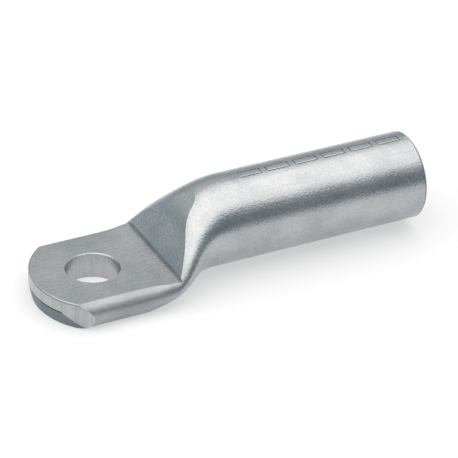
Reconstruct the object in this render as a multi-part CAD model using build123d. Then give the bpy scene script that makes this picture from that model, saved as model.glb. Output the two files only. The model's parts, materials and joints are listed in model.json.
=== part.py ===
from build123d import *
from math import asin, atan2, cos, degrees, radians, sin, sqrt, tan
import os

# Sizes in millimetres, angles in degrees.
# The origin is the bolt hole's centre on the palm's underside.
# +X runs along the lug to the barrel's mouth, +Y across it, +Z up off the palm.

# Barrel
barrel_diameter = 22.0
bore_diameter = 13.2
hole_to_mouth = 86.0
axis_height = 12.0
mouth_outer_break = 0.5
mouth_inner_break = 0.3

# Palm
palm_thickness = 6.8
palm_width = 32.4
bolt_hole_diameter = 13.0
hole_edge_break = 0.25
end_overhang = 2.2
end_centre_offset = 2.95
end_off_middle = 0.7
edge_roll_over = 0.45
fracture_angle = 12.0
seam_gap = 0.16
seam_inset = 5.4
seam_tip = 1.5
seam_to_hole = 1.5
throat_start = 15.2
throat_end = 19.0
throat_height = 0.8

# Neck, each stretch given by where it starts and ends along X
lower_corner_start = 7.4
lower_corner_end = 18.5
underside_start = 7.4
underside_end = 20.0
widest_line_start = 11.6
widest_line_end = 28.7
crest_start = 14.5
neck_end = 38.7
upper_corner_start = 13.6
upper_corner_end = 17.4
sides_start = 13.8
sides_end = 30.1
sides_sharpness = 1.94
crest_fullness = 2.9
crest_softness = 0.08
crown_half = 1.5

# Pressed facet that ends the palm
die_line = 16.5
strip_length = 3.4
strip_rise = 0.2
ledge_riser = 1.2
ledge_bow = 0.2
ramp_angle = 59.1
ramp_length = 8.0
nose_radius = 16.2
nose_angle = 38.0

# Crimp guide frames stamped along the barrel's top
guide_count = 6
guide_length = 6.0
guide_width = 2.15
guide_pitch = 7.68
guide_from_mouth = 6.05
guide_line_width = 0.34
guide_line_depth = 0.18

barrel_radius = barrel_diameter / 2
bore_radius = bore_diameter / 2
barrel_wall = barrel_radius - bore_radius
palm_half = palm_width / 2
side_radius = palm_thickness / 2
palm_flat = palm_half - side_radius
end_radius = palm_half + end_overhang
seam_height = palm_thickness / 2
seam_half = palm_half - seam_inset
folded_wall = (palm_thickness - seam_gap) / 2
barrel_top = axis_height + barrel_radius
barrel_bottom = axis_height - barrel_radius
ledge_height = palm_thickness + ledge_riser
bore_crown_half = crown_half * bore_radius / barrel_radius


def across(x):
    """Plane square to the lug at x; its own X is the lug's Y and its own Y is up."""
    return Plane(origin=(x, 0, 0), x_dir=(0, 1, 0), z_dir=(1, 0, 0))


def share(x, start, end):
    """How far x has gone from start to end, held between 0 and 1."""
    return min(max((x - start) / (end - start), 0.0), 1.0)


def ease(part):
    """Level at both ends, steepest half way."""
    return part * part * (3 - 2 * part)


def between(first, last, part):
    return first + (last - first) * part


def underside(x):
    """Height of the lowest line, which climbs from the palm's underside to the barrel's."""
    return barrel_bottom * ease(share(x, underside_start, underside_end))


def widest_line(x):
    """Height at which the section is widest."""
    return between(side_radius, axis_height, ease(share(x, widest_line_start, widest_line_end)))


def half_width(x):
    part = share(x, sides_start, sides_end)
    near, far = part**sides_sharpness, (1 - part) ** sides_sharpness
    return between(palm_half, barrel_radius, near / (near + far))


def crest(x):
    """Height of the tube's top line, bent down from the barrel before the facet is pressed."""
    part = 1 - ((neck_end - x) / (neck_end - crest_start)) ** crest_fullness
    soft_part = (part + sqrt(part**2 + 4 * crest_softness**2)) / 2
    return between(palm_thickness, barrel_top, min(soft_part, 1.0))


def crown_edge(height, half, drop):
    """Shallow arc from the middle line out to half, falling by drop, and its way at the end."""
    if abs(drop) < 0.001:
        return Edge.make_line((0, height), (half, height)), (1, 0)
    radius = (drop * drop + half * half) / (2 * drop)
    turn = 2 * atan2(drop, half)
    middle = (radius * sin(turn / 2), height - radius + radius * cos(turn / 2))
    return Edge.make_three_point_arc((0, height), middle, (half, height - drop)), (cos(turn), -sin(turn))


def corner_edge(start, start_way, end, end_way):
    """Round corner that leaves start and reaches end along the two ways given."""
    first, last = Vector(*start), Vector(*end)
    leaving, reaching = Vector(*start_way), Vector(*end_way)
    chord = last - first
    square = leaving.X * reaching.Y - leaving.Y * reaching.X
    before = (chord.X * reaching.Y - chord.Y * reaching.X) / square
    after = (leaving.X * chord.Y - leaving.Y * chord.X) / square
    turn = radians(leaving.get_angle(reaching))
    pull = 4 / 3 * tan(turn / 4) / tan(turn / 2)
    return Edge.make_bezier(first, first + leaving * before * pull, last - reaching * after * pull, last)


def with_mirror(right_half):
    return Face(Wire([*right_half, *[edge.mirror(Plane.YZ) for edge in right_half]]))


def tube_section(x, side, lower, upper):
    """Section from its side point and the half length, height and sag of its lower and upper crowns."""
    under, under_way = crown_edge(lower[1], lower[0], -lower[2])
    over, over_way = crown_edge(upper[1], upper[0], upper[2])
    lower_corner = corner_edge(under @ 1, under_way, side, (0, 1))
    upper_corner = corner_edge(side, (0, 1), over @ 1, (-over_way[0], -over_way[1]))
    return across(x) * with_mirror([under, lower_corner, upper_corner, over])


def neck_section(x):
    """Outer section: folded oval at the palm, growing round and narrow towards the barrel."""
    lower_part = ease(share(x, lower_corner_start, lower_corner_end))
    upper_part = ease(share(x, upper_corner_start, upper_corner_end))
    lower_half = between(palm_flat, crown_half, lower_part)
    upper_half = between(palm_flat, crown_half, upper_part)
    lift = ease(share(x, widest_line_start, widest_line_end)) * lower_half**2 / barrel_diameter
    drop = ease(share(x, upper_corner_start, widest_line_end)) * upper_half**2 / barrel_diameter
    lower, upper = (lower_half, underside(x), lift), (upper_half, crest(x), drop)
    return tube_section(x, (half_width(x), widest_line(x)), lower, upper)


def round_section(x, radius, split):
    """Circle round the barrel's axis, split where the neck's sections are split."""
    centre = Plane(origin=(0, axis_height, 0))
    apart = degrees(asin(split / radius))
    turns = [(270, 270 + apart), (270 + apart, 360), (0, 90 - apart), (90 - apart, 90)]
    arcs = [Edge.make_circle(radius, centre, start_angle=a, end_angle=b) for a, b in turns]
    return across(x) * with_mirror(arcs)


def ramp_points():
    """Corner points of the pressed facet's side view: foot, top of the straight, nose middle and end."""
    steep, shallow = radians(ramp_angle), radians(nose_angle)
    middle = (steep + shallow) / 2
    top = (die_line + ramp_length * cos(steep), ledge_height + ramp_length * sin(steep))
    centre = (top[0] + nose_radius * sin(steep), top[1] - nose_radius * cos(steep))
    on_nose = [(centre[0] - nose_radius * sin(a), centre[1] + nose_radius * cos(a)) for a in (middle, shallow)]
    return (die_line, ledge_height), top, on_nose[0], on_nose[1], centre


def facet_height(x):
    """Height of the palm's top and of the pressed facet beyond it, on the middle line."""
    foot, top, _, end, centre = ramp_points()
    if x < foot[0]:
        return palm_thickness
    if x < top[0]:
        return foot[1] + (x - foot[0]) * tan(radians(ramp_angle))
    if x < end[0]:
        return centre[1] + sqrt(nose_radius**2 - (centre[0] - x) ** 2)
    return end[1] + (x - end[0]) * tan(radians(nose_angle))


def inner_section(x, side, floor, roof):
    """Section of the hollow between a floor and a roof height; the higher it is, the rounder."""
    roundness = share(roof - floor, seam_gap, bore_diameter)
    crown = between(side - seam_tip, bore_crown_half, sqrt(roundness))
    sag = (roundness * crown) ** 2 / bore_diameter
    return tube_section(x, (side, (floor + roof) / 2), (crown, floor, sag), (crown, roof, sag))


def throat_section(x):
    """Inner section of the neck, from a low mouth at the seam's end to the barrel's bore."""
    opening = ease(share(x, throat_start, throat_end))
    wall = between(folded_wall, barrel_wall, ease(share(x, widest_line_start, widest_line_end)))
    floor = between(seam_height - throat_height / 2, underside(x) + wall, opening)
    roof = between(seam_height + throat_height / 2, min(facet_height(x), crest(x)) - wall, opening)
    narrowing = ease(share(x, throat_start, widest_line_end))
    side = between(seam_half + seam_tip / 2, half_width(x) - barrel_wall, narrowing)
    return inner_section(x, side, floor, roof)


def pressed_tube():
    """The tube flattened at one end, before the facet is pressed."""
    steps = [between(lower_corner_start, crest_start, k / 5) for k in range(5)]
    steps += [between(crest_start, neck_end, (k / 14) ** 1.15) for k in range(14)]
    sections = [*[neck_section(x) for x in steps], round_section(neck_end, barrel_radius, crown_half)]
    palm = extrude(sections[0], amount=2 * palm_half, dir=(-1, 0, 0))
    barrel_start = Plane(origin=(neck_end, 0, axis_height), z_dir=(1, 0, 0))
    barrel = Solid.make_cylinder(barrel_radius, hole_to_mouth - neck_end, barrel_start)
    return loft(sections) + palm + barrel


def facet_tool():
    """Upper pressing tool: a narrow ledge, a straight ramp and a rounded nose, bowed across the lug."""
    foot, top, on_nose, end, _ = ramp_points()
    height = barrel_top + 3
    reach = end[0] + (height - end[1]) / tan(radians(nose_angle))
    back = die_line - palm_thickness
    edges = [
        Edge.make_line((back, ledge_height), foot),
        Edge.make_line(foot, top),
        Edge.make_three_point_arc(top, on_nose, end),
        Edge.make_line(end, (reach, height)),
        Edge.make_line((reach, height), (back, height)),
        Edge.make_line((back, height), (back, ledge_height)),
    ]
    side_view = Plane(origin=(0, 0, 0), x_dir=(1, 0, 0), z_dir=(0, -1, 0)) * Face(Wire(edges))
    bow_radius = palm_half**2 / (2 * ledge_bow)
    turn = degrees(asin((palm_half + 2) / bow_radius))
    axis = Axis((die_line + bow_radius, 0, 0), (0, 0, 1))
    return revolve(side_view.rotate(axis, -turn), axis, 2 * turn)


def palm_tool():
    """Flat tool that leaves the palm's contact face level, with a slight rise just before the ledge."""
    beyond, height = -2 * palm_half, palm_thickness + 2 * axis_height
    corners = [
        (beyond, palm_thickness),
        (die_line - strip_length, palm_thickness),
        (die_line, palm_thickness + strip_rise),
        (die_line, height),
        (beyond, height),
    ]
    side_view = Plane(origin=(0, 0, 0), x_dir=(1, 0, 0), z_dir=(0, -1, 0)) * make_face(Polyline(corners, close=True))
    return extrude(side_view, amount=palm_width, both=True)


def seam():
    """Hair gap at the sheared end between the folded walls, pressed tight before the bolt hole."""
    depth = bolt_hole_diameter / 2 + seam_to_hole
    gap = inner_section(-depth, seam_half, seam_height - seam_gap / 2, seam_height + seam_gap / 2)
    return extrude(gap, amount=2 * palm_half, dir=(-1, 0, 0))


def hollow():
    """The throat that opens where the folded walls part, and the barrel's bore."""
    steps = [between(throat_start, neck_end, (k / 4) ** 1.4) for k in range(4)]
    throat = loft([*[throat_section(x) for x in steps], round_section(neck_end, bore_radius, bore_crown_half)])
    bore_start = Plane(origin=(neck_end, 0, axis_height), z_dir=(1, 0, 0))
    return throat + Solid.make_cylinder(bore_radius, hole_to_mouth - neck_end, bore_start)


def mouth_breaks():
    """Narrow bevels round the barrel's mouth, outside and inside."""
    mouth = Plane(origin=(hole_to_mouth, 0, axis_height), x_dir=(0, 1, 0), z_dir=(-1, 0, 0))
    collar = Solid.make_cylinder(barrel_radius + 1, mouth_outer_break, mouth)
    keep = Solid.make_cone(barrel_radius - mouth_outer_break, barrel_radius, mouth_outer_break, mouth)
    inner = Solid.make_cone(bore_radius + mouth_inner_break, bore_radius, mouth_inner_break, mouth)
    return [collar - keep, inner]


def end_tools():
    """Shear that cuts the palm's end to an arc, breaking away inwards below the seam."""
    length = end_radius + end_centre_offset
    plan = Pos(end_centre_offset - length, 0) * Rectangle(2 * length, 2 * palm_width)
    plan -= Pos(end_centre_offset, -end_off_middle) * Circle(end_radius)
    plan = Pos(0, 0, seam_height) * plan
    lean = radians(fracture_angle)
    clean = extrude(plan, amount=palm_thickness)
    broken = extrude(plan, amount=(seam_height + 1) / cos(lean), dir=(sin(lean), 0, -cos(lean)))
    return [clean, broken, roll_over_tool()]


def roll_over_tool():
    """Rounds the top edge of the sheared end, drawn down by the shear."""
    inner, low = end_radius - edge_roll_over, palm_thickness - edge_roll_over
    outer, high = end_radius + 2, palm_thickness + 1
    turn = sqrt(0.5) * edge_roll_over
    edges = [
        Edge.make_three_point_arc((inner, palm_thickness), (inner + turn, low + turn), (end_radius, low)),
        Edge.make_line((end_radius, low), (outer, low)),
        Edge.make_line((outer, low), (outer, high)),
        Edge.make_line((outer, high), (inner, high)),
        Edge.make_line((inner, high), (inner, palm_thickness)),
    ]
    side_view = Plane(origin=(0, 0, 0), x_dir=(1, 0, 0), z_dir=(0, -1, 0)) * Face(Wire(edges))
    reach = degrees(asin(min((palm_half + end_off_middle + 0.1) / end_radius, 1.0)))
    ring = revolve(side_view.rotate(Axis.Z, 180 - reach), Axis.Z, 2 * reach)
    return Pos(end_centre_offset, -end_off_middle, 0) * ring


def bolt_hole():
    """Punched hole with a fine bevel round its upper edge."""
    radius = bolt_hole_diameter / 2
    bevel_start = Plane(origin=(0, 0, palm_thickness - hole_edge_break))
    bevel = Solid.make_cone(radius, radius + 2 * hole_edge_break, 2 * hole_edge_break, bevel_start)
    return [Solid.make_cylinder(radius, palm_thickness + 1, Plane.XY), bevel]


def guide_frames():
    """Fine rectangular lines along the barrel's top that show where to crimp."""
    line = guide_line_width
    frame = Rectangle(guide_length + line, guide_width + line)
    frame -= Rectangle(guide_length - line, guide_width - line)
    floor = barrel_radius - guide_line_depth
    start = Plane(origin=(neck_end, 0, axis_height), z_dir=(1, 0, 0))
    length = hole_to_mouth - neck_end
    skin = Solid.make_cylinder(barrel_radius + 1, length, start) - Solid.make_cylinder(floor, length, start)
    tools = []
    for number in range(guide_count):
        x = hole_to_mouth - guide_from_mouth - number * guide_pitch
        prism = extrude(Pos(x, 0, axis_height) * frame, amount=barrel_radius + 2)
        tools.append(prism & skin)
    return tools


lug = pressed_tube() - facet_tool() - palm_tool()
for tool in [hollow(), seam(), *end_tools(), *bolt_hole(), *mouth_breaks(), *guide_frames()]:
    lug = lug - tool

os.makedirs("parts", exist_ok=True)
export_step(lug, "parts/cable_lug.step")
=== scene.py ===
import json
from math import cos, pi, radians, sin, tan

import bpy
from bpy.props import FloatProperty, FloatVectorProperty, PointerProperty
from mathutils import Matrix, Vector


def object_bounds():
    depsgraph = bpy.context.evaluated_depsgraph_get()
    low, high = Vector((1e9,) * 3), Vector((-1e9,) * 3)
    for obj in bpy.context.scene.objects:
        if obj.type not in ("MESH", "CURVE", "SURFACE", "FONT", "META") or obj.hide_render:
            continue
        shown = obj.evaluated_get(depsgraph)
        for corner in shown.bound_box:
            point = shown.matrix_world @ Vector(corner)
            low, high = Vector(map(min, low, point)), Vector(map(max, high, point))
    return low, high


bl_info = {
    "name": "Aluminium cable lug",
    "version": (1, 0, 0),
    "blender": (4, 5, 0),
    "location": "3D View > Sidebar > Cable lug",
    "description": "Dresses the pressed aluminium cable lug and sets it in a plain pale studio",
    "category": "Object",
}

# The frame is in metres: the bolt hole's centre on the palm's underside is the origin,
# +X runs to the barrel's mouth, +Y across the lug and +Z up off the palm.
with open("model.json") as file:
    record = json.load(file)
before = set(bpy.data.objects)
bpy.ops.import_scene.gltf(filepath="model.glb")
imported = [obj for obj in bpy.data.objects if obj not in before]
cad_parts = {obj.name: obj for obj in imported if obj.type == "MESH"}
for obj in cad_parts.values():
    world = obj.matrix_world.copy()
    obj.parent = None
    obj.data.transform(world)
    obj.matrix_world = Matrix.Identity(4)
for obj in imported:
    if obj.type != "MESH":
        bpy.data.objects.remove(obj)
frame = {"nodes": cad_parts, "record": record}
SIZE_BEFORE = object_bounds()

MM = 0.001
LUG = "cable_lug"
MOUNTS = {mount["name"]: mount for mount in frame["record"]["mounts"]}
HOLE_RADIUS = MOUNTS["bolt_hole"]["dims"]["r_mm"] * MM
PALM_THICKNESS = MOUNTS["palm_top"]["pos_m"][2]
UNDERSIDE = SIZE_BEFORE[0][2]
MOUTH = SIZE_BEFORE[1][0]

# The palm's sheared end is an arc about a point just off the hole. Half way down it shows the seam
# between the folded walls, and below the seam the metal tore away inwards.
END_CENTRE = (2.95 * MM, -0.7 * MM)
END_RADIUS = 18.4 * MM
SEAM_HEIGHT = PALM_THICKNESS / 2
SEAM_NEAR_END = -10.4 * MM
TEAR_LEAN = tan(radians(12))
# The tear sinks from the seam to below the palm between these two places across the lug.
TEAR_FULL = -10.5 * MM
TEAR_GONE = -17 * MM
BELOW_PALM = -1 * MM
# A fine dark line runs along the seam, a little above its middle.
DIRT_ABOVE_SEAM = 0.05 * MM
DIRT_HALF_WIDTH = 0.2 * MM

# The palm is flat out to here on both sides, and rounds off beyond. Along the neck, the painted
# shade and matt finish of its sides fade out between two places.
FLAT_HALF = SIZE_BEFORE[1][1] - PALM_THICKNESS / 2
STRETCHED_TO = 8 * MM
PLAIN_FROM = 22 * MM

# Crimp guides are stamped along the barrel's top. A painted highlight lightens a strip beside each
# near line, on its inner side.
GUIDES = 6
GUIDE_PITCH = 7.68 * MM
GUIDE_HALF_LENGTH = 3.0 * MM
GUIDE_HALF_WIDTH = 1.075 * MM
GUIDE_NEAREST_MOUTH = MOUTH - 6.05 * MM
RUB_INSET = 0.36 * MM
RUB_HALF_WIDTH = 0.2 * MM
# Between the bore's top and the barrel's top, so the strips mark the outside alone.
ABOVE_BORE = 20 * MM

# Each mask rises from 0 to 1 between two distances: inside the end's arc, back from the hole's
# middle, outside the hole's wall, below the tear's edge, out from the flat, and before the mouth.
SHEAR_EDGE = (0.15 * MM, 0.05 * MM)
BEFORE_HOLE = (0, -2 * MM)
PUNCH_EDGE = (0.2 * MM, 0.05 * MM)
TEAR_EDGE = (-0.15 * MM, 0.25 * MM)
FOLD_EDGE = (-0.2 * MM, 1.2 * MM)
RIM_EDGE = (0.75 * MM, 0.5 * MM)
# The same for a highlight strip's ends, as a difference of cosines.
RUB_SOFT_END = 0.06

# The noise that draws the skin: its layers, how strong the finer layers are, how far its lines are
# stretched, and how much of the streaks is mixed in.
NOISE_DETAIL = 3.0
MOTTLE_FINENESS = 0.6
CLOUD_FINENESS = 0.55
LINE_STRETCH = 0.05
STREAK_SHARE = 0.35
# The hole's wall is ribbed less than the sheared end, and a little brighter than the skin.
RIB_SHARE_IN_HOLE = 0.6
BRIGHT_SHARE_IN_HOLE = 0.15

# Each noise is read between two values, where most of it lies.
CLOUD_SPAN = (0.35, 0.65)
SKIN_SPAN = (0.42, 0.93)
RIB_SPAN = (0.3, 0.7)

# Shades multiply the metal's colour, from the low to the high of the noise or at their darkest.
SPECKLE_SHADES = (0.85, 1.11)
RIB_SHADES = (0.86, 1.1)
# Painted shade on the palm's rounded sides.
FOLD_SHADE = 0.87
DIRT_SHADE = 0.3

# Roughness added to the skin's satin, from the low to the high of the mottle and on two surfaces.
MOTTLE_ROUGHNESS = (-0.07, 0.09)
TORN_ROUGHNESS = 0.2
FOLD_ROUGHNESS = 0.2

# The floor lies a hair below the lug, so the two surfaces don't flicker into each other.
FLOOR_SIZE = 6
FLOOR_GAP = 0.005 * MM
LAMP_SIZE = (1.5, 1.08)
LAMP_PLACE = (-0.15, -0.05, 0.7)
# Heights between which the room turns from its horizon to its ceiling, and places along Y between
# which it turns from its near side to the rest, both on a unit ball.
ROOM_HEIGHTS = (0.2, 0.8)
ROOM_NEAR_TO_FAR = (-0.85, -0.5)

# The lens gives so many of the image's pixels to a millimetre at the aim, near the lug's middle.
IMAGE_WIDTH = 458
PIXELS_PER_MM = 4.091
SENSOR_WIDTH = 36
AIM = (40 * MM, 0, 8 * MM)
# The aim lies this far right of and above the image's middle.
AIM_RIGHT = 3.05 * MM
AIM_UP = 0.49 * MM


def linear(hex_colour):
    """sRGB hex digits as three linear values."""
    values = [int(hex_colour[i : i + 2], 16) / 255 for i in (0, 2, 4)]
    return [v / 12.92 if v <= 0.04045 else ((v + 0.055) / 1.055) ** 2.4 for v in values]


def add(tree, kind, sockets=None, **settings):
    """Adds a node with its settings; each socket gets a value, or a link to a given output."""
    node = tree.nodes.new(kind)
    for name, value in settings.items():
        setattr(node, name, value)
    for name, value in (sockets or {}).items():
        if isinstance(value, bpy.types.NodeSocket):
            tree.links.new(value, node.inputs[name])
        else:
            node.inputs[name].default_value = value
    return node


class LugFinish(bpy.types.PropertyGroup):
    """Colour and texture of the bare aluminium."""

    colour: FloatVectorProperty(
        name="Aluminium",
        description="Colour of the bare metal where it is cleanest",
        default=linear("B9BABB"),
        size=3,
        min=0,
        max=1,
        subtype="COLOR",
    )
    oxide: FloatVectorProperty(
        name="Oxide",
        description="Colour of the bare metal where the oxide is thickest",
        default=linear("A9ACAF"),
        size=3,
        min=0,
        max=1,
        subtype="COLOR",
    )
    # Darker than the skin partly as painted shade, for the lower end face that leans down towards
    # the floor's shadow.
    torn: FloatVectorProperty(
        name="Torn metal",
        description="Colour of the rough, torn half of the sheared end",
        default=linear("7F878C"),
        size=3,
        min=0,
        max=1,
        subtype="COLOR",
    )
    # Real burnish in the hole, and also the colour of the painted highlight strips inside the
    # guides' near lines.
    burnished: FloatVectorProperty(
        name="Burnished metal",
        description="Colour of metal that a tool has just rubbed bright",
        default=linear("DCDDDD"),
        size=3,
        min=0,
        max=1,
        subtype="COLOR",
    )
    roughness: FloatProperty(
        name="Satin",
        description="How far the drawn and pickled skin spreads a reflection",
        default=0.25,
        min=0,
        max=1,
        subtype="FACTOR",
    )
    grain: FloatProperty(
        name="Grain",
        description="Size of the fine mottling",
        default=0.52 * MM,
        min=0.05 * MM,
        max=5 * MM,
        unit="LENGTH",
    )
    relief: FloatProperty(
        name="Relief",
        description="How far the mottling and the lines stand up from the metal",
        default=0.055 * MM,
        min=0,
        max=1 * MM,
        unit="LENGTH",
    )
    cloud: FloatProperty(
        name="Clouds",
        description="Size of the soft patches of thicker oxide",
        default=9 * MM,
        min=1 * MM,
        max=50 * MM,
        unit="LENGTH",
    )
    draw_line: FloatProperty(
        name="Draw lines",
        description="Spacing of the fine lines that the tube's drawing die leaves along the barrel",
        default=0.6 * MM,
        min=0.05 * MM,
        max=5 * MM,
        unit="LENGTH",
    )
    shear_line: FloatProperty(
        name="Shear lines",
        description="Spacing of the upright lines on the sheared end and in the punched hole",
        default=0.5 * MM,
        min=0.05 * MM,
        max=5 * MM,
        unit="LENGTH",
    )


class LugStudio(bpy.types.PropertyGroup):
    """Plain pale floor, soft lamp, pale room and the camera."""

    floor: FloatVectorProperty(
        name="Floor",
        description="Colour of the studio floor",
        default=linear("F1F1F1"),
        size=3,
        min=0,
        max=1,
        subtype="COLOR",
    )
    backdrop: FloatProperty(
        name="Backdrop",
        description="Share of plain white in the floor as the camera and the metal see it",
        default=0.5,
        min=0,
        max=1,
        subtype="FACTOR",
    )
    overhead: FloatProperty(
        name="Overhead lamp",
        description="Power of the broad soft lamp over the lug",
        default=4.7,
        min=0,
        max=200,
        unit="POWER",
    )
    lamp_colour: FloatVectorProperty(
        name="Lamp colour",
        description="Faintly warm white of the lamp's diffuser",
        default=(1.0, 0.985, 0.965),
        size=3,
        min=0,
        max=1,
        subtype="COLOR",
    )
    ceiling: FloatVectorProperty(
        name="Ceiling",
        description="The pale room above the lug",
        default=(0.99, 0.975, 0.955),
        size=3,
        min=0,
        max=2,
        subtype="COLOR",
    )
    horizon: FloatVectorProperty(
        name="Horizon",
        description="The grey room beyond the lug, low down",
        default=(0.41, 0.49, 0.525),
        size=3,
        min=0,
        max=2,
        subtype="COLOR",
    )
    near_side: FloatVectorProperty(
        name="Near side",
        description="The dark side of the room, behind the camera",
        default=(0.225, 0.285, 0.32),
        size=3,
        min=0,
        max=2,
        subtype="COLOR",
    )
    azimuth: FloatProperty(
        name="Camera azimuth",
        description="Side the camera stands on; zero looks along +Y",
        default=radians(-27.93),
        subtype="ANGLE",
    )
    elevation: FloatProperty(
        name="Camera elevation",
        description="Angle of the camera above the floor",
        default=radians(31.45),
        subtype="ANGLE",
    )
    roll: FloatProperty(
        name="Camera roll",
        description="Turn of the camera about its line of sight",
        default=radians(1.82),
        subtype="ANGLE",
    )
    distance: FloatProperty(
        name="Camera distance",
        description="From the camera to its aim, near the middle of the lug",
        default=0.700,
        min=0.1,
        unit="LENGTH",
    )


def skin_noise(tree, place, finish):
    """Mottle and clouds of the pickled skin, and its height from the mottle and the draw lines."""
    # Drawing and pickling leave a matt skin, whose fine mottle breaks up the edge of a reflection.
    mottle = add(
        tree,
        "ShaderNodeTexNoise",
        {
            "Vector": place,
            "Scale": 1 / finish.grain,
            "Detail": NOISE_DETAIL,
            "Roughness": MOTTLE_FINENESS,
        },
    ).outputs["Fac"]
    # The oxide is uneven, so broad soft patches look a little darker and bluer.
    clouds = add(
        tree,
        "ShaderNodeTexNoise",
        {
            "Vector": place,
            "Scale": 1 / finish.cloud,
            "Detail": NOISE_DETAIL,
            "Roughness": CLOUD_FINENESS,
        },
    ).outputs["Fac"]
    cloudy = add(
        tree,
        "ShaderNodeMapRange",
        {"Value": clouds, "From Min": CLOUD_SPAN[0], "From Max": CLOUD_SPAN[1]},
    ).outputs[0]
    # The drawing die scores the tube lengthwise, which gives the sheen its faint streaks.
    along = add(tree, "ShaderNodeMapping", {"Vector": place, "Scale": (LINE_STRETCH, 1, 1)})
    streaks = add(
        tree,
        "ShaderNodeTexNoise",
        {"Vector": along.outputs[0], "Scale": 1 / finish.draw_line, "Detail": NOISE_DETAIL},
    ).outputs["Fac"]
    height = add(
        tree,
        "ShaderNodeMath",
        {0: streaks, 1: STREAK_SHARE, 2: mottle},
        operation="MULTIPLY_ADD",
    ).outputs[0]
    return mottle, cloudy, height


def sheared_wall(tree, x, y, z):
    """1 on the sheared end: all that lies beyond its arc, which leans in below the seam."""
    drop = add(tree, "ShaderNodeMath", {0: SEAM_HEIGHT, 1: z}, operation="SUBTRACT").outputs[0]
    fall = add(tree, "ShaderNodeMath", {0: drop, 1: 0.0}, operation="MAXIMUM").outputs[0]
    stood = add(
        tree,
        "ShaderNodeMath",
        {0: fall, 1: -TEAR_LEAN, 2: x},
        operation="MULTIPLY_ADD",
    ).outputs[0]
    leaning = add(tree, "ShaderNodeCombineXYZ", {"X": stood, "Y": y}).outputs[0]
    from_end = add(
        tree,
        "ShaderNodeVectorMath",
        {0: leaning, 1: (*END_CENTRE, 0)},
        operation="DISTANCE",
    ).outputs["Value"]
    past_end = add(
        tree,
        "ShaderNodeMapRange",
        {
            "Value": from_end,
            "From Min": END_RADIUS - SHEAR_EDGE[0],
            "From Max": END_RADIUS - SHEAR_EDGE[1],
        },
    ).outputs[0]
    before_hole = add(
        tree,
        "ShaderNodeMapRange",
        {"Value": x, "From Min": BEFORE_HOLE[0], "From Max": BEFORE_HOLE[1]},
    ).outputs[0]
    both = {0: past_end, 1: before_hole}
    return add(tree, "ShaderNodeMath", both, operation="MULTIPLY").outputs[0]


def punched_wall(tree, x, y):
    """1 in the bolt hole, fading out across its bevel."""
    level = add(tree, "ShaderNodeCombineXYZ", {"X": x, "Y": y}).outputs[0]
    from_hole = add(tree, "ShaderNodeVectorMath", {0: level}, operation="LENGTH").outputs["Value"]
    return add(
        tree,
        "ShaderNodeMapRange",
        {
            "Value": from_hole,
            "From Min": HOLE_RADIUS + PUNCH_EDGE[0],
            "From Max": HOLE_RADIUS + PUNCH_EDGE[1],
        },
    ).outputs[0]


def torn_wall(tree, y, z, sheared):
    """1 on the sheared end below the tear's edge, which sinks away towards the near corner; its
    darker colour there is partly painted shade.
    """
    tear_top = add(
        tree,
        "ShaderNodeMapRange",
        {
            "Value": y,
            "From Min": TEAR_GONE,
            "From Max": TEAR_FULL,
            "To Min": BELOW_PALM,
            "To Max": SEAM_HEIGHT,
        },
    ).outputs[0]
    depth = add(tree, "ShaderNodeMath", {0: tear_top, 1: z}, operation="SUBTRACT").outputs[0]
    tear = add(
        tree,
        "ShaderNodeMapRange",
        {"Value": depth, "From Min": TEAR_EDGE[0], "From Max": TEAR_EDGE[1]},
    ).outputs[0]
    return add(tree, "ShaderNodeMath", {0: sheared, 1: tear}, operation="MULTIPLY").outputs[0]


def folded_side(tree, x, y, sheared):
    """1 on the palm's rounded sides, which get painted shade and more roughness, fading out along
    the neck, and 0 on the sheared end.
    """
    sideways = add(tree, "ShaderNodeMath", {0: y}, operation="ABSOLUTE").outputs[0]
    past_flat = add(
        tree,
        "ShaderNodeMapRange",
        {
            "Value": sideways,
            "From Min": FLAT_HALF + FOLD_EDGE[0],
            "From Max": FLAT_HALF + FOLD_EDGE[1],
        },
    ).outputs[0]
    before_neck = add(
        tree,
        "ShaderNodeMapRange",
        {"Value": x, "From Min": PLAIN_FROM, "From Max": STRETCHED_TO},
    ).outputs[0]
    uncut = add(tree, "ShaderNodeMath", {0: 1.0, 1: sheared}, operation="SUBTRACT").outputs[0]
    folded = past_flat
    for mask in (before_neck, uncut):
        both = {0: folded, 1: mask}
        folded = add(tree, "ShaderNodeMath", both, operation="MULTIPLY").outputs[0]
    return folded


def rubbed_strips(tree, x, y, z):
    """1 in a strip inside each guide's near line, where a highlight is painted.

    The cosine of the way along the barrel, at half a turn to a pitch, is furthest from zero at
    each guide's middle.
    """
    turn = add(
        tree,
        "ShaderNodeMath",
        {0: x, 1: pi / GUIDE_PITCH, 2: -pi * GUIDE_NEAREST_MOUTH / GUIDE_PITCH},
        operation="MULTIPLY_ADD",
    ).outputs[0]
    swing = add(tree, "ShaderNodeMath", {0: turn}, operation="COSINE").outputs[0]
    swing = add(tree, "ShaderNodeMath", {0: swing}, operation="ABSOLUTE").outputs[0]
    guide_end = cos(pi * GUIDE_HALF_LENGTH / GUIDE_PITCH)
    beside_guide = add(
        tree,
        "ShaderNodeMapRange",
        {"Value": swing, "From Min": guide_end, "From Max": guide_end + RUB_SOFT_END},
    ).outputs[0]
    past_last = add(
        tree,
        "ShaderNodeMath",
        {0: x, 1: GUIDE_NEAREST_MOUTH - (GUIDES - 0.5) * GUIDE_PITCH},
        operation="GREATER_THAN",
    ).outputs[0]
    across = add(
        tree,
        "ShaderNodeMath",
        {0: y, 1: -GUIDE_HALF_WIDTH + RUB_INSET, 2: RUB_HALF_WIDTH},
        operation="COMPARE",
    ).outputs[0]
    on_top = add(
        tree,
        "ShaderNodeMath",
        {0: z, 1: ABOVE_BORE},
        operation="GREATER_THAN",
    ).outputs[0]
    rubbed = beside_guide
    for mask in (past_last, across, on_top):
        both = {0: rubbed, 1: mask}
        rubbed = add(tree, "ShaderNodeMath", both, operation="MULTIPLY").outputs[0]
    return rubbed


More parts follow.
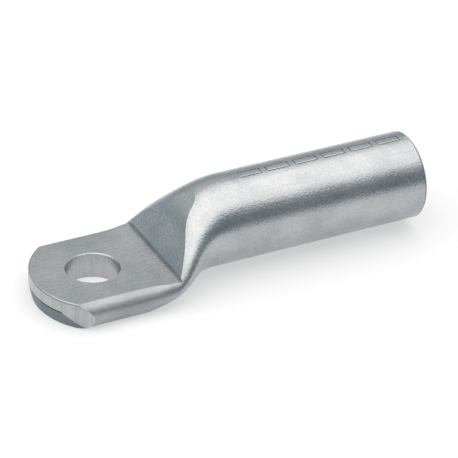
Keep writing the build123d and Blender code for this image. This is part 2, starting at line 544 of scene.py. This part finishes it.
def fine_dirt(tree, x, y, z, sheared):
    """1 along the seam's mouth in the sheared end and on the break round the barrel's mouth."""
    seam_line = add(
        tree,
        "ShaderNodeMath",
        {0: z, 1: SEAM_HEIGHT + DIRT_ABOVE_SEAM, 2: DIRT_HALF_WIDTH},
        operation="COMPARE",
    ).outputs[0]
    seam_span = add(
        tree,
        "ShaderNodeMath",
        {0: y, 1: SEAM_NEAR_END},
        operation="GREATER_THAN",
    ).outputs[0]
    dirt = seam_line
    for mask in (seam_span, sheared):
        both = {0: dirt, 1: mask}
        dirt = add(tree, "ShaderNodeMath", both, operation="MULTIPLY").outputs[0]
    rim = add(
        tree,
        "ShaderNodeMapRange",
        {"Value": x, "From Min": MOUTH - RIM_EDGE[0], "From Max": MOUTH - RIM_EDGE[1]},
    ).outputs[0]
    return add(tree, "ShaderNodeMath", {0: dirt, 1: rim}, operation="MAXIMUM").outputs[0]


def satin_aluminium(finish):
    """Bare aluminium as drawn, pressed, pickled and sheared, with painted highlight strips and
    painted shade on the palm's sides and the torn end.
    """
    material = bpy.data.materials.new("drawn_satin_aluminium")
    material.use_nodes = True
    tree = material.node_tree
    tree.nodes.clear()
    place = add(tree, "ShaderNodeTexCoord").outputs["Object"]
    x, y, z = add(tree, "ShaderNodeSeparateXYZ", {"Vector": place}).outputs
    mottle, cloudy, skin_height = skin_noise(tree, place, finish)
    # Shear and punch score the cut walls upright, so these look finely ribbed from top to bottom.
    upright = add(tree, "ShaderNodeMapping", {"Vector": place, "Scale": (1, 1, LINE_STRETCH)})
    ribs = add(
        tree,
        "ShaderNodeTexNoise",
        {"Vector": upright.outputs[0], "Scale": 1 / finish.shear_line, "Detail": NOISE_DETAIL},
    ).outputs["Fac"]

    sheared = sheared_wall(tree, x, y, z)
    punched = punched_wall(tree, x, y)
    faint = {0: punched, 1: RIB_SHARE_IN_HOLE}
    faint = add(tree, "ShaderNodeMath", faint, operation="MULTIPLY").outputs[0]
    cut = add(tree, "ShaderNodeMath", {0: sheared, 1: faint}, operation="MAXIMUM").outputs[0]
    # Below the seam the end tore rather than cut, and is dull and dark; the dark colour is partly
    # the rough torn metal and partly painted shade, for a face that leans down towards the floor's
    # shadow.
    torn = torn_wall(tree, y, z, sheared)
    # The palm's rounded sides are more matt, which blurs their reflections, and painted shade
    # darkens them.
    folded = folded_side(tree, x, y, sheared)
    # A painted highlight lightens a strip inside each guide's near line, and the punch left a light
    # burnish in the hole.
    rubbed = rubbed_strips(tree, x, y, z)
    bright = {0: punched, 1: BRIGHT_SHARE_IN_HOLE}
    bright = add(tree, "ShaderNodeMath", bright, operation="MULTIPLY").outputs[0]
    bright = add(tree, "ShaderNodeMath", {0: bright, 1: rubbed}, operation="MAXIMUM").outputs[0]
    # Fine dark lines run along the seam and round the mouth.
    dirt = fine_dirt(tree, x, y, z, sheared)

    metal = (*finish.colour, 1)
    # The burnish colour also paints the highlight strips, and the torn colour is partly painted
    # shade.
    for share, over in ((cloudy, finish.oxide), (bright, finish.burnished), (torn, finish.torn)):
        metal = add(
            tree,
            "ShaderNodeMixRGB",
            {"Fac": share, "Color1": metal, "Color2": (*over, 1)},
        ).outputs[0]

    speckle = add(
        tree,
        "ShaderNodeMapRange",
        {
            "Value": skin_height,
            "From Min": SKIN_SPAN[0],
            "From Max": SKIN_SPAN[1],
            "To Min": SPECKLE_SHADES[0],
            "To Max": SPECKLE_SHADES[1],
        },
    ).outputs[0]
    ribbed = add(
        tree,
        "ShaderNodeMapRange",
        {
            "Value": ribs,
            "From Min": RIB_SPAN[0],
            "From Max": RIB_SPAN[1],
            "To Min": RIB_SHADES[0],
            "To Max": RIB_SHADES[1],
        },
    ).outputs[0]
    shade = add(
        tree,
        "ShaderNodeMix",
        {0: cut, 2: speckle, 3: ribbed},
        data_type="FLOAT",
    ).outputs[0]
    # The dark lines, and the painted shade on the palm's rounded sides, darken the colour.
    for mask, darkest in ((dirt, DIRT_SHADE), (folded, FOLD_SHADE)):
        darker = {"Value": mask, "To Min": 1.0, "To Max": darkest}
        darker = add(tree, "ShaderNodeMapRange", darker).outputs[0]
        both = {0: shade, 1: darker}
        shade = add(tree, "ShaderNodeMath", both, operation="MULTIPLY").outputs[0]
    colour = add(
        tree,
        "ShaderNodeVectorMath",
        {0: metal, "Scale": shade},
        operation="SCALE",
    ).outputs["Vector"]

    roughness = add(
        tree,
        "ShaderNodeMapRange",
        {
            "Value": mottle,
            "To Min": finish.roughness + MOTTLE_ROUGHNESS[0],
            "To Max": finish.roughness + MOTTLE_ROUGHNESS[1],
        },
    ).outputs[0]
    for mask, more in ((torn, TORN_ROUGHNESS), (folded, FOLD_ROUGHNESS)):
        roughness = add(
            tree,
            "ShaderNodeMath",
            {0: mask, 1: more, 2: roughness},
            operation="MULTIPLY_ADD",
        ).outputs[0]

    height = add(
        tree,
        "ShaderNodeMix",
        {0: cut, 2: skin_height, 3: ribs},
        data_type="FLOAT",
    ).outputs[0]
    bump = add(
        tree,
        "ShaderNodeBump",
        {"Height": height, "Strength": 1.0, "Distance": finish.relief},
    ).outputs[0]
    shader = add(
        tree,
        "ShaderNodeBsdfPrincipled",
        {"Base Color": colour, "Metallic": 1.0, "Roughness": roughness, "Normal": bump},
    )
    add(tree, "ShaderNodeOutputMaterial", {"Surface": shader.outputs[0]})
    return material


class LUG_OT_metal(bpy.types.Operator):
    """Gives the pressed lug its bare aluminium"""

    bl_idname = "lug.metal"
    bl_label = "Bare aluminium"

    def execute(self, context):
        lug = frame["nodes"][LUG]
        lug.data.materials.clear()
        lug.data.materials.append(satin_aluminium(context.scene.lug_finish))
        return {"FINISHED"}


def matt_floor(studio):
    """Plain pale floor that takes a soft shadow and looks near white to camera and metal."""
    paint = bpy.data.materials.new("matt_studio_floor")
    paint.use_nodes = True
    tree = paint.node_tree
    tree.nodes.clear()
    matt = add(tree, "ShaderNodeBsdfDiffuse", {"Color": (*studio.floor, 1)}).outputs[0]
    white = add(tree, "ShaderNodeEmission", {"Strength": 1.0}).outputs[0]
    ray = add(tree, "ShaderNodeLightPath").outputs
    shown = ray["Is Camera Ray"]
    for kind in ("Is Glossy Ray", "Is Transmission Ray"):
        both = {0: shown, 1: ray[kind]}
        shown = add(tree, "ShaderNodeMath", both, operation="MAXIMUM").outputs[0]
    share = {0: shown, 1: studio.backdrop}
    share = add(tree, "ShaderNodeMath", share, operation="MULTIPLY").outputs[0]
    mixed = add(tree, "ShaderNodeMixShader", {0: share, 1: matt, 2: white})
    add(tree, "ShaderNodeOutputMaterial", {"Surface": mixed.outputs[0]})
    return paint


def soft_lamp(name, size, place, power, colour):
    """Soft oblong lamp that hangs level at a place and shines down."""
    lamp = bpy.data.lights.new(name, "AREA")
    lamp.shape = "RECTANGLE"
    lamp.size, lamp.size_y = size
    lamp.energy = power
    lamp.color = colour
    stand = bpy.data.objects.new(name, lamp)
    stand.location = place
    bpy.context.collection.objects.link(stand)
    return stand


def pale_room(studio):
    """World that is palest overhead, greyer at the horizon and darkest behind the camera."""
    world = bpy.data.worlds.new("pale_room")
    world.use_nodes = True
    tree = world.node_tree
    tree.nodes.clear()
    way = add(tree, "ShaderNodeTexCoord").outputs["Generated"]
    split = add(tree, "ShaderNodeSeparateXYZ", {"Vector": way}).outputs
    room = (*studio.ceiling, 1)
    for under, axis, (start, end) in (
        (studio.horizon, "Z", ROOM_HEIGHTS),
        (studio.near_side, "Y", ROOM_NEAR_TO_FAR),
    ):
        share = {"Value": split[axis], "From Min": start, "From Max": end}
        share = add(tree, "ShaderNodeMapRange", share).outputs[0]
        room = add(
            tree,
            "ShaderNodeMixRGB",
            {"Fac": share, "Color1": (*under, 1), "Color2": room},
        ).outputs[0]
    grey = add(tree, "ShaderNodeBackground", {"Color": room, "Strength": 1.0})
    add(tree, "ShaderNodeOutputWorld", {"Surface": grey.outputs[0]})
    return world


class LUG_OT_studio(bpy.types.Operator):
    """Lays the floor and sets the lamp and the pale room round the lug"""

    bl_idname = "lug.studio"
    bl_label = "Studio"

    def execute(self, context):
        studio = context.scene.lug_studio
        bpy.ops.mesh.primitive_plane_add(size=FLOOR_SIZE, location=(0, 0, UNDERSIDE - FLOOR_GAP))
        floor = context.object
        floor.name = "studio_floor"
        floor.data.materials.append(matt_floor(studio))
        power, colour = studio.overhead, studio.lamp_colour
        overhead = soft_lamp("overhead_lamp", LAMP_SIZE, LAMP_PLACE, power, colour)
        context.scene.world = pale_room(studio)
        return {"FINISHED"}


class LUG_OT_camera(bpy.types.Operator):
    """Stands the camera where the photograph was taken from"""

    bl_idname = "lug.camera"
    bl_label = "Camera"

    def execute(self, context):
        studio = context.scene.lug_studio
        a, e, roll, away = studio.azimuth, studio.elevation, studio.roll, studio.distance
        back = Vector((sin(a) * cos(e), -cos(a) * cos(e), sin(e)))
        level = Vector((cos(a), sin(a), 0))
        upright = back.cross(level)
        right = cos(roll) * level + sin(roll) * upright
        up = -sin(roll) * level + cos(roll) * upright
        lens = bpy.data.cameras.new("camera")
        lens.sensor_width = SENSOR_WIDTH
        lens.lens = PIXELS_PER_MM * away / MM / IMAGE_WIDTH * SENSOR_WIDTH
        camera = bpy.data.objects.new("camera", lens)
        place = Vector(AIM) + back * away - right * AIM_RIGHT - up * AIM_UP
        turn = Matrix((right, up, back)).transposed().to_4x4()
        camera.matrix_world = Matrix.Translation(place) @ turn
        context.collection.objects.link(camera)
        context.scene.camera = camera
        return {"FINISHED"}


class LUG_PT_panel(bpy.types.Panel):
    """Lists the sizes and steps that dress the lug"""

    bl_idname = "LUG_PT_panel"
    bl_label = "Cable lug"
    bl_space_type = "VIEW_3D"
    bl_region_type = "UI"
    bl_category = "Cable lug"

    def draw(self, context):
        for settings, steps in (
            (context.scene.lug_finish, (LUG_OT_metal,)),
            (context.scene.lug_studio, (LUG_OT_studio, LUG_OT_camera)),
        ):
            column = self.layout.column(align=True)
            for name in settings.__annotations__:
                column.prop(settings, name)
            for step in steps:
                self.layout.operator(step.bl_idname)


CLASSES = (LugFinish, LugStudio, LUG_OT_metal, LUG_OT_studio, LUG_OT_camera, LUG_PT_panel)


def register():
    for cls in CLASSES:
        bpy.utils.register_class(cls)
    bpy.types.Scene.lug_finish = PointerProperty(type=LugFinish)
    bpy.types.Scene.lug_studio = PointerProperty(type=LugStudio)


def unregister():
    del bpy.types.Scene.lug_studio
    del bpy.types.Scene.lug_finish
    for cls in reversed(CLASSES):
        bpy.utils.unregister_class(cls)


def main():
    register()
    bpy.context.scene.view_settings.view_transform = "Standard"
    bpy.ops.lug.metal()
    bpy.ops.lug.studio()
    bpy.ops.lug.camera()


if __name__ == "__main__":
    main()
